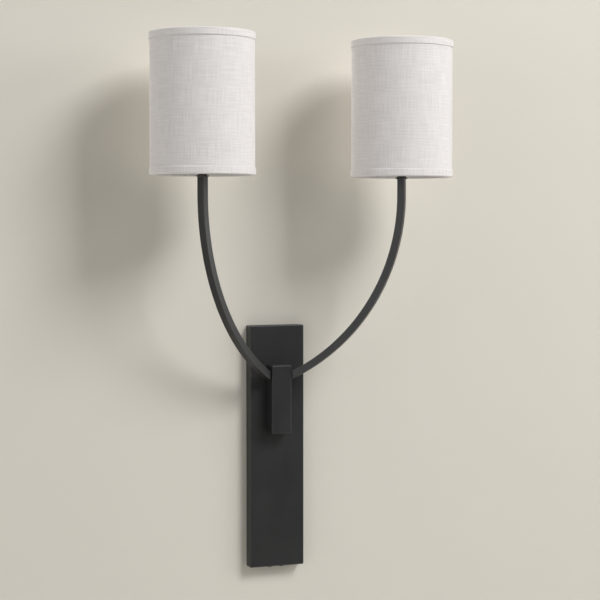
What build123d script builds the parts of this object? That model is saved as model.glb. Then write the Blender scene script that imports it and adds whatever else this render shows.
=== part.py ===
from build123d import *
import math
import os

# Double arm wall sconce with two linen drum shades. Millimetres, +Z up, +X right, the room is on -Y.
# The origin is the centre of the backplate's footprint on the wall, and the wall is the plane Y = 0.
# "Depth" is always the distance in front of the wall, so a depth d lies at Y = -d.

# Backplate
plate_width = 74.0
plate_height = 314.0
plate_depth = 15.0
plate_wall = 1.5
plate_edge_radius = 1.6

# Block on the backplate that carries both arms
block_width = 26.5
block_height = 88.0
block_depth = 18.0
block_edge_radius = 0.9
block_below_plate_top = 51.0

# Arms: square tube, each bent in an upright plane that turns forward from the wall
arm_side = 9.5
arm_tube_wall = 1.0
arm_corner_radius = 0.5
arm_bend_radius = 257.0
arm_straight = 20.7
arm_entry_below_block_top = 15.2
arm_planes_meet_behind_plate_front = 0.9
arm_seat = 7.2
lamp_spacing = 263.4
lamp_reach = 111.9

# Disc and threaded nipple at the top of each arm
disc_radius = 8.1
disc_foot_radius = 6.6
disc_thickness = 2.0
disc_lip = 0.8
nipple_radius = 4.0
nipple_bore_radius = 3.0
nipple_above_disc = 6.5

# Lamp holder, measured up from the top of the disc, which is level with the shade's bottom edge
socket_cap_radius = 11.0
socket_cap_height = 15.0
socket_cap_web = 7.0
socket_cap_chamfer = 1.0
socket_cap_hub_radius = 5.6
socket_cap_hub_height = 2.4
socket_wall = 2.0
socket_barrel_height = 9.0
socket_floor = 4.0
socket_floor_recess = 2.0
shoulder_radius = 16.0
shoulder_thickness = 2.5
thread_radius = 13.5
thread_height = 16.0
thread_groove_depth = 0.5
thread_pitch = 2.5
thread_start = 1.9
shell_bore_radius = 6.2
shell_thickness = 0.35
shell_height = 20.0
contact_radius = 3.0
contact_thickness = 0.5
contact_dome_height = 1.0
contact_stem_radius = 1.0
contact_surround = 0.9
terminal_thickness = 0.6
terminal_drop = 1.2

# Shade
shade_radius = 63.5
shade_height = 171.5
linen_thickness = 0.6
liner_thickness = 0.8
trim_height = 9.5
trim_thickness = 1.1
trim_fold = 0.5
ring_wire_radius = 1.2
spoke_radius = 1.4
spoke_count = 3
spoke_flat = 8.0
spoke_lap = 2.0
hub_radius = 19.0
hub_thickness = 1.0

# Retaining ring that clamps the hub on the shoulder
nut_radius = 17.2
nut_height = 6.0
nut_grip_count = 18
nut_grip_radius = 0.9

# Bulb
bulb_radius = 10.0
bulb_length = 80.0
bulb_wall = 1.0
bulb_neck_radius = 4.9
bulb_base_radius = 5.9
bulb_base_height = 17.0
bulb_base_wall = 0.35
bulb_thread_depth = 0.45
bulb_thread_pitch = 2.6
bulb_thread_start = 1.95
bulb_insulator_height = 2.0
bulb_insulator_radius = 4.2
bulb_tip_radius = 2.2
bulb_solder_radius = 1.3
bulb_tip_height = 1.2

# Mounting strap on the wall
strap_width = 30.0
strap_thickness = 1.5
flange_depth = 10.5
box_screw_spacing = 83.3
box_slot_width = 4.8
box_slot_length = 12.0
cable_hole_radius = 9.5
cable_hole_height = 21.0
hanger_slot_depth = 2.2
hanger_drop = 5.5

# Hanger clip
clip_width = 20.0
clip_thickness = 1.2
clip_plate_height = 16.0
clip_prong = 4.5

# Screws; the rounding and the cross recess are shares of the head's height and radius
screw_head_rounding = 0.45
screw_cross_length = 1.1
screw_cross_width = 0.3
plate_screw_radius = 1.9
plate_screw_length = 7.0
plate_screw_spacing = 16.0
plate_screw_head_radius = 3.2
plate_screw_head_height = 1.6
block_screw_radius = 1.95
block_screw_length = 11.0
block_screw_head_radius = 3.6
block_screw_head_height = 2.6
block_screw_from_bottom = 12.0
block_screw_spacing = 32.0
washer_radius = 4.4
washer_thickness = 0.8
washer_tooth_count = 10
washer_notch_radius = 0.5
ground_screw_radius = 1.9
ground_screw_head_radius = 4.2
ground_screw_head_height = 2.4
ground_screw_height = -56.0

# Wiring
lead_radius = 1.0
lead_half_spacing = 1.3
lead_bend_radius = 3.6
lead_insertion = 6.4
hot_lead_depth = 5.8
neutral_lead_depth = 8.6
bushing_bore_radius = 5.0
bushing_wall = 1.3
bushing_flange = 1.3
bushing_flange_thickness = 1.0
chamber_depth = 11.5
connector_radius = 4.5
connector_tip_radius = 2.6
connector_height = 19.0
connector_taper = 12.6
connector_tip_height = 6.4
connector_wall = 0.9
connector_offset = 7.5
connector_below_bushing = 34.0
ground_lead_radius = 0.9
ground_lead_slope = 14.0
ground_lead_bend = 8.0
lug_radius = 4.0
lug_thickness = 0.8
lug_tongue = 8.0
lug_crimp = 2.0

# Clearances
seat_gap = 0.3
close_gap = 0.1
turn_gap = 0.3
bond_gap = 0.05
cutter_margin = 1.0

# Values worked out from the sizes above
half_spacing = lamp_spacing / 2
planes_meet_depth = plate_depth - arm_planes_meet_behind_plate_front
arm_plane_turn = math.atan2(lamp_reach - planes_meet_depth, half_spacing)
lamp_along = half_spacing / math.cos(arm_plane_turn)
entry_along = block_width / 2 / math.cos(arm_plane_turn)
bend_at_entry = math.acos(1 - (lamp_along - entry_along) / arm_bend_radius)
bend_at_end = bend_at_entry + arm_seat / arm_bend_radius
block_top = plate_height / 2 - block_below_plate_top
block_bottom = block_top - block_height
block_front = plate_depth + block_depth
plate_inner_depth = plate_depth - plate_wall
bend_top = block_top - arm_entry_below_block_top + arm_bend_radius * math.sin(bend_at_entry)
arm_top = bend_top + arm_straight
shade_bottom = arm_top + disc_thickness

end_along = lamp_along - arm_bend_radius * (1 - math.cos(bend_at_end))
end_height = bend_top - arm_bend_radius * math.sin(bend_at_end)
front_along = (plate_depth - planes_meet_depth) / math.sin(arm_plane_turn)
bushing_height = end_height - (end_along - front_along) / math.tan(bend_at_end)

socket_floor_top = socket_cap_height + socket_floor_recess + socket_floor
shoulder_top = socket_cap_height + socket_barrel_height + shoulder_thickness
socket_top = shoulder_top + thread_height
hub_bottom = shoulder_top + seat_gap
nut_bottom = hub_bottom + hub_thickness + seat_gap
hub_bore_radius = thread_radius + turn_gap
contact_top = socket_floor_top + contact_thickness + contact_dome_height
terminal_bottom = socket_cap_height - terminal_drop
shell_flange_bore = contact_radius + contact_surround
bulb_bottom = contact_top + seat_gap
bulb_base_bottom = bulb_bottom + bulb_tip_height + bulb_insulator_height
bulb_base_top = bulb_base_bottom + bulb_base_height
bushing_sleeve_radius = bushing_bore_radius + bushing_wall
bushing_flange_radius = bushing_sleeve_radius + bushing_flange
chamber_radius = bushing_flange_radius + seat_gap
strap_half_height = plate_height / 2 - plate_wall - seat_gap
block_screw_heights = [
    block_bottom + block_screw_from_bottom,
    block_bottom + block_screw_from_bottom + block_screw_spacing,
]
connector_top = bushing_height - connector_below_bushing
liner_bore_radius = shade_radius - linen_thickness - liner_thickness - 2 * bond_gap
ring_centre_radius = liner_bore_radius - close_gap - ring_wire_radius
ring_depth = trim_fold + close_gap + ring_wire_radius
plate_screw_places = [-plate_screw_spacing / 2, plate_screw_spacing / 2]

arm_plane = Plane(
    origin=(0, -planes_meet_depth, 0),
    x_dir=(math.cos(arm_plane_turn), -math.sin(arm_plane_turn), 0),
    z_dir=(-math.sin(arm_plane_turn), -math.cos(arm_plane_turn), 0),
)
lamp_place = Pos(half_spacing, -lamp_reach, shade_bottom) * Rot(0, 0, -math.degrees(arm_plane_turn))
shade_place = Pos(half_spacing, -lamp_reach, shade_bottom)


def bar(x_span, depth_span, z_span):
    """A box between two X values, two depths in front of the wall and two heights."""
    size = [high - low for low, high in (x_span, depth_span, z_span)]
    centre = [(low + high) / 2 for low, high in (x_span, depth_span, z_span)]
    return Pos(centre[0], -centre[1], centre[2]) * Box(*size)


def turned(outline):
    """A round piece about Z from a closed outline of (radius, height) points."""
    points = [(radius, 0, height) for radius, height in outline]
    return revolve(make_face(Polyline(*points, close=True)), Axis.Z)


def pipe(inner, outer, low, high):
    """A round ring between two radii and two heights."""
    return turned([(inner, low), (outer, low), (outer, high), (inner, high)])


def facing_wall(piece, x, depth, height):
    """Turns a piece that was made about +Z so that its +Z points at the wall, and places it."""
    return Pos(x, -depth, height) * Rot(-90, 0, 0) * piece


def both_sides(piece):
    """The piece and its mirror image in the centre plane, as (side, solid) pairs."""
    return [("right", piece), ("left", piece.mirror(Plane.YZ))]


def arm_route(offset, start_height, end_bend):
    """The arm's route in its plane: straight down, then round the bend."""
    centre = (lamp_along - arm_bend_radius, bend_top)
    top = (lamp_along + offset, start_height)
    straight = Line(top, (lamp_along + offset, bend_top))
    bend = CenterArc(centre, arm_bend_radius + offset, 0, -math.degrees(end_bend))
    return Wire([straight.edge(), bend.edge()])


def square_tube(section, start_height, end_bend):
    """The section swept along the arm's route."""
    route = arm_plane * arm_route(0, start_height, end_bend)
    start = Plane(origin=route @ 0, x_dir=arm_plane.x_dir, z_dir=(0, 0, -1))
    return sweep(start * section, route)


def make_backplate():
    outer = bar((-plate_width / 2, plate_width / 2), (0, plate_depth), (-plate_height / 2, plate_height / 2))
    front_edges = outer.faces().sort_by(Axis.Y)[0].edges()
    corner_edges = outer.edges().filter_by(Axis.Y)
    outer = fillet(front_edges + corner_edges, plate_edge_radius)
    inner_width = plate_width - 2 * plate_wall
    inner_height = plate_height - 2 * plate_wall
    inner = bar(
        (-inner_width / 2, inner_width / 2),
        (-cutter_margin, plate_inner_depth),
        (-inner_height / 2, inner_height / 2),
    )
    plate = outer - inner
    sleeve_hole = Cylinder(bushing_sleeve_radius + close_gap, 3 * plate_wall)
    plate -= facing_wall(sleeve_hole, 0, plate_depth - plate_wall / 2, bushing_height)
    screw_hole = Cylinder(block_screw_radius + seat_gap, 3 * plate_wall)
    for height in block_screw_heights:
        plate -= facing_wall(screw_hole, 0, plate_depth - plate_wall / 2, height)
    for x in plate_screw_places:
        hole = Cylinder(plate_screw_radius + seat_gap, 3 * plate_wall)
        plate -= Pos(x, -plate_depth / 2, -(plate_height - plate_wall) / 2) * hole
    return plate


def make_mounting_strap():
    half_width = strap_width / 2
    top_flange = plate_height / 2 - plate_wall - hanger_drop
    strap = bar((-half_width, half_width), (0, strap_thickness), (-strap_half_height, top_flange))
    strap += bar(
        (-half_width, half_width),
        (0, flange_depth),
        (-strap_half_height, strap_thickness - strap_half_height),
    )
    strap += bar((-half_width, half_width), (0, flange_depth), (top_flange - strap_thickness, top_flange))
    slot = SlotOverall(box_slot_length, box_slot_width, rotation=90)
    slot_cutter = extrude(slot, 4 * strap_thickness, both=True)
    for height in (-box_screw_spacing / 2, box_screw_spacing / 2):
        strap -= facing_wall(slot_cutter, 0, 0, height)
    for height in (-cable_hole_height, cable_hole_height):
        strap -= facing_wall(Cylinder(cable_hole_radius, 4 * strap_thickness), 0, 0, height)
    ground_hole = Cylinder(ground_screw_radius + close_gap, 4 * strap_thickness)
    strap -= facing_wall(ground_hole, 0, 0, ground_screw_height)
    for x in plate_screw_places:
        hole = Cylinder(plate_screw_radius + close_gap, 4 * strap_thickness)
        strap -= Pos(x, -plate_depth / 2, -strap_half_height) * hole
    slot_half = clip_width / 2 + seat_gap
    strap -= bar(
        (-slot_half, slot_half),
        (strap_thickness + seat_gap, strap_thickness + seat_gap + hanger_slot_depth),
        (top_flange - 2 * strap_thickness, top_flange + strap_thickness),
    )
    return strap


def make_hanger_clip():
    top_flange = plate_height / 2 - plate_wall - hanger_drop
    half_width = clip_width / 2
    prong_back = strap_thickness + seat_gap + (hanger_slot_depth - clip_thickness) / 2
    tab_bottom = top_flange + seat_gap
    tab_top = tab_bottom + clip_thickness
    clip = bar((-half_width, half_width), (prong_back, plate_inner_depth), (tab_bottom, tab_top))
    clip += bar(
        (-half_width, half_width),
        (prong_back, prong_back + clip_thickness),
        (top_flange - clip_prong, tab_top),
    )
    clip += bar(
        (-half_width, half_width),
        (plate_inner_depth - clip_thickness, plate_inner_depth),
        (tab_top - clip_plate_height, tab_top),
    )
    return clip


def pan_head_screw(radius, length, head_radius, head_height):
    """A screw about Z: the head is below Z = 0 and the shank goes up."""
    screw = Pos(0, 0, length / 2) * Cylinder(radius, length)
    head = Pos(0, 0, -head_height / 2) * Cylinder(head_radius, head_height)
    head = fillet(head.faces().sort_by(Axis.Z)[0].edges(), head_height * screw_head_rounding)
    cross_arm = Box(head_radius * screw_cross_length, head_height * screw_cross_width, head_height)
    cross = cross_arm + Rot(0, 0, 90) * cross_arm
    return screw + head - Pos(0, 0, -head_height) * cross


def make_plate_screws():
    screw = pan_head_screw(
        plate_screw_radius, plate_screw_length, plate_screw_head_radius, plate_screw_head_height
    )
    return [Pos(x, -plate_depth / 2, -plate_height / 2) * screw for x in plate_screw_places]


def block_screw_stacks():
    """Height and lock washer depth of each block screw; the lower washer lies on the ground lead's lug."""
    lower, upper = block_screw_heights
    return [(lower, plate_inner_depth - lug_thickness), (upper, plate_inner_depth)]


def make_block_screws():
    screw = pan_head_screw(
        block_screw_radius, block_screw_length, block_screw_head_radius, block_screw_head_height
    )
    to_room = Rot(90, 0, 0)
    stacks = block_screw_stacks()
    return [Pos(0, washer_thickness - depth, height) * to_room * screw for height, depth in stacks]


def make_block_washers():
    washer = pipe(block_screw_radius + close_gap, washer_radius, 0, washer_thickness)
    notch = Pos(washer_radius, 0, washer_thickness / 2) * Cylinder(washer_notch_radius, 2 * washer_thickness)
    for turn in range(washer_tooth_count):
        washer -= Rot(0, 0, turn * 360 / washer_tooth_count) * notch
    return [facing_wall(washer, 0, depth, height) for height, depth in block_screw_stacks()]


def make_arm_block():
    block = bar((-block_width / 2, block_width / 2), (plate_depth, block_front), (block_bottom, block_top))
    rear_face = block.faces().sort_by(Axis.Y)[-1]
    rounded = [edge for edge in block.edges() if edge.center().Y < rear_face.center().Y - block_edge_radius]
    block = fillet(rounded, block_edge_radius)
    pocket_side = arm_side + 2 * close_gap
    pocket_end = bend_at_end + close_gap / arm_bend_radius
    pocket = square_tube(Rectangle(pocket_side, pocket_side), arm_top, pocket_end)
    route = arm_plane * arm_route(0, arm_top, bend_at_end)
    wire_circle = Plane(origin=route @ 1, z_dir=route % 1) * Circle(arm_side / 2 - arm_tube_wall)
    wire_way = extrude(wire_circle, arm_side)
    for cutter in (pocket, wire_way):
        for _, sided_cutter in both_sides(cutter):
            block -= sided_cutter
    chamber = extrude(Circle(chamber_radius), chamber_depth)
    block -= Pos(0, -plate_depth, bushing_height) * Rot(90, 0, 0) * chamber
    tapped = extrude(Circle(block_screw_radius + close_gap), block_screw_length)
    for height in block_screw_heights:
        block -= Pos(0, -plate_depth, height) * Rot(90, 0, 0) * tapped
    return block


def make_arm():
    bore_side = arm_side - 2 * arm_tube_wall
    section = RectangleRounded(arm_side, arm_side, arm_corner_radius) - Rectangle(bore_side, bore_side)
    return square_tube(section, arm_top, bend_at_end)


def make_arm_nipple():
    return lamp_place * pipe(nipple_bore_radius, nipple_radius, -disc_thickness, nipple_above_disc)


def make_arm_disc():
    bore = nipple_radius + close_gap
    outline = [
        (bore, -disc_thickness),
        (disc_foot_radius, -disc_thickness),
        (disc_radius, -disc_lip),
        (disc_radius, 0),
        (bore, 0),
    ]
    return lamp_place * turned(outline)


def make_socket_cap():
    bore = nipple_radius + close_gap
    outline = [
        (bore, 0),
        (socket_cap_hub_radius, 0),
        (socket_cap_hub_radius, socket_cap_hub_height),
        (socket_cap_radius - socket_cap_chamfer, socket_cap_hub_height),
        (socket_cap_radius, socket_cap_hub_height + socket_cap_chamfer),
        (socket_cap_radius, socket_cap_height),
        (socket_cap_radius - socket_wall, socket_cap_height),
        (socket_cap_radius - socket_wall, socket_cap_web),
        (bore, socket_cap_web),
    ]
    return lamp_place * turned(outline)


def make_socket_body():
    hollow = socket_cap_radius - socket_wall
    floor_bottom = socket_cap_height + socket_floor_recess
    cavity = shell_bore_radius + shell_thickness + close_gap
    outline = [
        (hollow, socket_cap_height),
        (socket_cap_radius, socket_cap_height),
        (socket_cap_radius, shoulder_top - shoulder_thickness),
        (shoulder_radius, shoulder_top - shoulder_thickness),
        (shoulder_radius, shoulder_top),
        (thread_radius, shoulder_top),
        (thread_radius, socket_top),
        (cavity, socket_top),
        (cavity, socket_floor_top),
        (0, socket_floor_top),
        (0, floor_bottom),
        (hollow, floor_bottom),
    ]
    body = turned(outline)
    groove_count = int((socket_top - nut_bottom - nut_height) / thread_pitch)
    groove_bottom = thread_radius - thread_groove_depth
    for turn in range(groove_count):
        height = socket_top - thread_start - turn * thread_pitch
        body -= pipe(groove_bottom, thread_radius + cutter_margin, height, height + thread_pitch / 2)
    stem_hole = contact_stem_radius + close_gap
    body -= Pos(0, 0, floor_bottom + socket_floor / 2) * Cylinder(stem_hole, 2 * socket_floor)
    body -= terminal_tab(close_gap)
    return lamp_place * body


def terminal_tab(gap):
    """The screw shell's terminal, which goes down through the socket's floor; gap widens it to a slot."""
    outer = shell_flange_bore + terminal_thickness
    length = socket_floor_top - terminal_bottom
    tab = Box(terminal_thickness + 2 * gap, contact_radius + 2 * gap, length)
    return Pos(outer - terminal_thickness / 2, 0, terminal_bottom + length / 2) * tab


def terminal_foot():
    """The terminal's foot under the socket's floor, which the neutral lead meets."""
    outer = shell_flange_bore + terminal_thickness
    length = outer - contact_stem_radius / 2
    foot = Box(length, contact_radius, terminal_thickness)
    return Pos(outer - length / 2, 0, terminal_bottom + terminal_thickness / 2) * foot


def make_screw_shell():
    outer = shell_bore_radius + shell_thickness
    outline = [
        (shell_flange_bore, socket_floor_top),
        (outer, socket_floor_top),
        (outer, socket_floor_top + shell_height),
        (shell_bore_radius, socket_floor_top + shell_height),
        (shell_bore_radius, socket_floor_top + shell_thickness),
        (shell_flange_bore, socket_floor_top + shell_thickness),
    ]
    return lamp_place * (turned(outline) + terminal_tab(0) + terminal_foot())


def make_centre_contact():
    stem_bottom = socket_cap_height + shell_thickness
    outline = [
        (0, stem_bottom),
        (contact_stem_radius, stem_bottom),
        (contact_stem_radius, socket_floor_top),
        (contact_radius, socket_floor_top),
        (contact_radius, socket_floor_top + contact_thickness),
        (contact_radius / 2, contact_top),
        (0, contact_top),
    ]
    return lamp_place * turned(outline)


def make_shade_fitter():
    ring_wire = Pos(0, 0, ring_depth) * Torus(ring_centre_radius, ring_wire_radius)
    hub = pipe(hub_bore_radius, hub_radius, hub_bottom, hub_bottom + hub_thickness)
    spoke_height = hub_bottom + hub_thickness / 2
    route = FilletPolyline(
        (hub_radius - spoke_lap, 0, spoke_height),
        (hub_radius + spoke_flat, 0, spoke_height),
        (ring_centre_radius, 0, ring_depth),
        radius=spoke_flat,
    )
    spoke = sweep(Plane(origin=route @ 0, z_dir=route % 0) * Circle(spoke_radius), route)
    nut_clearance = pipe(0, nut_radius + seat_gap, hub_bottom + hub_thickness, nut_bottom + nut_height)
    seat_clearance = pipe(0, shoulder_radius + seat_gap, shoulder_top - shoulder_thickness, hub_bottom)
    fitter = hub + ring_wire
    for turn in range(spoke_count):
        fitter += Rot(0, 0, 90 + turn * 360 / spoke_count) * (spoke - nut_clearance - seat_clearance)
    return shade_place * fitter


def make_shade_top_ring():
    return shade_place * Pos(0, 0, shade_height - ring_depth) * Torus(ring_centre_radius, ring_wire_radius)


def make_shade_liner():
    outer = shade_radius - linen_thickness - bond_gap
    low = trim_fold + bond_gap
    return shade_place * pipe(outer - liner_thickness, outer, low, shade_height - low)


def make_shade_cover():
    low = trim_fold + bond_gap
    return shade_place * pipe(shade_radius - linen_thickness, shade_radius, low, shade_height - low)


def shade_trim_outline(edge, inwards):
    """The trim's section: a band outside the cover that folds over the shade's edge."""
    inner = shade_radius - linen_thickness - liner_thickness - 2 * ring_wire_radius - 3 * close_gap
    band_inner = shade_radius + bond_gap
    outer = band_inner + trim_thickness
    return [
        (inner, edge),
        (outer, edge),
        (outer, edge + inwards * trim_height),
        (band_inner, edge + inwards * trim_height),
        (band_inner, edge + inwards * trim_fold),
        (inner, edge + inwards * trim_fold),
    ]


def make_shade_top_trim():
    return shade_place * turned(shade_trim_outline(shade_height, -1))


def make_shade_bottom_trim():
    return shade_place * turned(shade_trim_outline(0, 1))


def make_retaining_ring():
    ring = pipe(hub_bore_radius, nut_radius, nut_bottom, nut_bottom + nut_height)
    grip = Pos(nut_radius + nut_grip_radius / 2, 0, nut_bottom + nut_height / 2) * Cylinder(
        nut_grip_radius, 2 * nut_height
    )
    for turn in range(nut_grip_count):
        ring -= Rot(0, 0, turn * 360 / nut_grip_count) * grip
    return shade_place * ring


def make_bulb_glass():
    shoulder = bulb_base_top + bulb_radius - bulb_neck_radius
    dome_bottom = bulb_base_top + bulb_length - bulb_radius
    top = bulb_base_top + bulb_length

    def envelope(shrink, low):
        radius = bulb_radius - shrink
        neck = bulb_neck_radius - shrink
        diagonal = radius * math.sqrt(0.5)
        arc_middle = (diagonal, 0, dome_bottom + diagonal)
        outline = [
            Line((0, 0, low), (neck, 0, low)),
            Line((neck, 0, low), (neck, 0, bulb_base_top)),
            Line((neck, 0, bulb_base_top), (radius, 0, shoulder)),
            Line((radius, 0, shoulder), (radius, 0, dome_bottom)),
            ThreePointArc((radius, 0, dome_bottom), arc_middle, (0, 0, top - shrink)),
            Line((0, 0, top - shrink), (0, 0, low)),
        ]
        return revolve(make_face(Wire([piece.edge() for piece in outline])), Axis.Z)

    seat = bulb_base_bottom + bulb_base_height / 2
    return lamp_place * (envelope(0, seat) - envelope(bulb_wall, seat + bulb_wall))


def make_bulb_base():
    bore = bulb_base_radius - bulb_thread_depth - bulb_base_wall
    base = pipe(bore, bulb_base_radius, bulb_base_bottom, bulb_base_top)
    floor_top = bulb_base_bottom + bulb_base_wall
    base += pipe(bulb_tip_radius + close_gap, bulb_base_radius, bulb_base_bottom, floor_top)
    groove_count = int(bulb_base_height / bulb_thread_pitch) - 1
    groove_bottom = bulb_base_radius - bulb_thread_depth
    for turn in range(groove_count):
        height = bulb_base_bottom + bulb_thread_start + turn * bulb_thread_pitch
        base -= pipe(groove_bottom, bulb_base_radius + cutter_margin, height, height + bulb_thread_pitch / 2)
    return lamp_place * base


def make_bulb_contact():
    insulator_bottom = bulb_bottom + bulb_tip_height
    outline = [
        (0, bulb_bottom),
        (bulb_solder_radius, bulb_bottom),
        (bulb_tip_radius, insulator_bottom),
        (bulb_insulator_radius, bulb_base_bottom - bond_gap),
        (0, bulb_base_bottom - bond_gap),
    ]
    return lamp_place * turned(outline)


def make_wire_bushing():
    flange_radius = bushing_flange_radius
    front = bushing_flange_thickness
    back = -plate_wall - bushing_flange_thickness
    snap_radius = bushing_sleeve_radius + bushing_flange / 2
    outline = [
        (bushing_bore_radius, back),
        (snap_radius, back),
        (snap_radius, -plate_wall),
        (bushing_sleeve_radius, -plate_wall),
        (bushing_sleeve_radius, 0),
        (flange_radius, 0),
        (flange_radius, front),
        (bushing_bore_radius, front),
    ]
    return Pos(0, -plate_depth, bushing_height) * Rot(90, 0, 0) * turned(outline)


def make_lead(offset, top, lead_depth, connector_x):
    """One insulated lead of the right arm, from the lamp holder to its wire connector."""
    in_arm = arm_plane * arm_route(offset, top, bend_at_end)
    end = in_arm @ 1
    direction = in_arm % 1
    corner = end + direction * ((-plate_depth - end.Y) / direction.Y)
    wire_x = connector_x + lead_radius + close_gap
    tail = FilletPolyline(
        end,
        corner,
        (corner.X, -lead_depth, corner.Z),
        (wire_x, -lead_depth, connector_top + lead_bend_radius),
        (wire_x, -lead_depth, connector_top - lead_insertion),
        radius=lead_bend_radius,
    )
    upper_section = Plane(origin=in_arm @ 0, x_dir=arm_plane.x_dir, z_dir=(0, 0, -1)) * Circle(lead_radius)
    lower_section = Plane(origin=tail @ 0, z_dir=tail % 0) * Circle(lead_radius)
    return sweep(upper_section, in_arm) + sweep(lower_section, tail)


def make_leads(offset, top, lead_depth, connector_x):
    """The two leads of one colour, which meet in one connector: one from each arm."""
    right = make_lead(offset, top, lead_depth, connector_x)
    left = make_lead(offset, top, lead_depth, -connector_x).mirror(Plane.YZ)
    return [right, left]


def make_hot_leads():
    top = shade_bottom + socket_cap_height + shell_thickness - seat_gap
    return make_leads(-lead_half_spacing, top, hot_lead_depth, -connector_offset)


def make_neutral_leads():
    top = shade_bottom + terminal_bottom - seat_gap
    return make_leads(lead_half_spacing, top, neutral_lead_depth, connector_offset)


def make_wire_connectors():
    low = connector_top - connector_height
    outline = [
        (0, low),
        (connector_tip_radius, low),
        (connector_radius, low + connector_taper),
        (connector_radius, connector_top),
        (connector_radius - connector_wall, connector_top),
        (connector_radius - connector_wall, low + connector_taper),
        (connector_tip_radius - connector_wall, low + connector_tip_height),
        (0, low + connector_tip_height),
    ]
    depth = (hot_lead_depth + neutral_lead_depth) / 2
    return [Pos(x, -depth, 0) * turned(outline) for x in (-connector_offset, connector_offset)]


def make_ground_screw():
    screw = pan_head_screw(
        ground_screw_radius, strap_thickness, ground_screw_head_radius, ground_screw_head_height
    )
    head_seat = strap_thickness + lug_thickness
    return Pos(0, -head_seat, ground_screw_height) * Rot(-90, 0, 0) * screw


def ground_lug(hole_radius):
    """A ring lug about Z with its tongue towards +Y."""
    tongue = Pos(0, lug_tongue / 2, lug_thickness / 2) * Box(2 * lead_radius, lug_tongue, lug_thickness)
    ring = pipe(hole_radius, lug_radius, 0, lug_thickness)
    return ring + tongue - Pos(0, 0, lug_thickness / 2) * Cylinder(hole_radius, 2 * lug_thickness)


def make_ground_lead():
    """The bonding lead from the lower block screw to the ground screw, with a ring lug at each end."""
    upper_height = block_screw_heights[0]
    upper_depth = plate_inner_depth - lug_thickness / 2
    lower_depth = strap_thickness + lug_thickness / 2
    upper_lug = facing_wall(ground_lug(block_screw_radius + close_gap), 0, plate_inner_depth, upper_height)
    lower_lug = Pos(0, -strap_thickness, ground_screw_height) * Rot(90, 0, 0)
    lower_lug = lower_lug * ground_lug(ground_screw_radius + close_gap)
    lead_start = upper_height - lug_tongue + lug_crimp
    lead_end = ground_screw_height + lug_tongue - lug_crimp
    route = FilletPolyline(
        (0, -upper_depth + ground_lead_radius - lug_thickness / 2, lead_start),
        (0, -upper_depth + ground_lead_radius - lug_thickness / 2, lead_start - ground_lead_slope),
        (0, -lower_depth - ground_lead_radius + lug_thickness / 2, lead_end + ground_lead_slope),
        (0, -lower_depth - ground_lead_radius + lug_thickness / 2, lead_end),
        radius=ground_lead_bend,
    )
    section = Plane(origin=route @ 0, z_dir=route % 0) * Circle(ground_lead_radius)
    return upper_lug + lower_lug + sweep(section, route)


single_pieces = {
    "backplate": make_backplate,
    "mounting_strap": make_mounting_strap,
    "hanger_clip": make_hanger_clip,
    "arm_block": make_arm_block,
    "wire_bushing": make_wire_bushing,
    "ground_screw": make_ground_screw,
    "ground_lead": make_ground_lead,
}
grouped_pieces = {
    "plate_screws": make_plate_screws,
    "block_screws": make_block_screws,
    "block_washers": make_block_washers,
    "wire_connectors": make_wire_connectors,
    "hot_leads": make_hot_leads,
    "neutral_leads": make_neutral_leads,
}
sided_pieces = {
    "arm": make_arm,
    "arm_nipple": make_arm_nipple,
    "arm_disc": make_arm_disc,
    "socket_cap": make_socket_cap,
    "socket_body": make_socket_body,
    "screw_shell": make_screw_shell,
    "centre_contact": make_centre_contact,
    "shade_fitter": make_shade_fitter,
    "shade_top_ring": make_shade_top_ring,
    "shade_liner": make_shade_liner,
    "shade_cover": make_shade_cover,
    "shade_top_trim": make_shade_top_trim,
    "shade_bottom_trim": make_shade_bottom_trim,
    "retaining_ring": make_retaining_ring,
    "bulb_glass": make_bulb_glass,
    "bulb_base": make_bulb_base,
    "bulb_contact": make_bulb_contact,
}

os.makedirs("parts", exist_ok=True)
for name, make in single_pieces.items():
    export_step(make(), f"parts/{name}.step")
for name, make in grouped_pieces.items():
    export_step(Compound(make()), f"parts/{name}.step")
for name, make in sided_pieces.items():
    for side, piece in both_sides(make()):
        export_step(piece, f"parts/{side}_{name}.step")

print(f"shade bottom {shade_bottom:.2f}  block {block_bottom:.2f} to {block_top:.2f}")
overall_height = shade_bottom + shade_height + plate_height / 2
print(f"bushing height {bushing_height:.2f}  overall height {overall_height:.1f}")
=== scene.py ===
import math

import bmesh
import bpy
from bpy.props import FloatProperty, FloatVectorProperty, IntProperty, PointerProperty
from bpy.types import Operator, Panel, PropertyGroup
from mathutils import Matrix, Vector, noise


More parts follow.
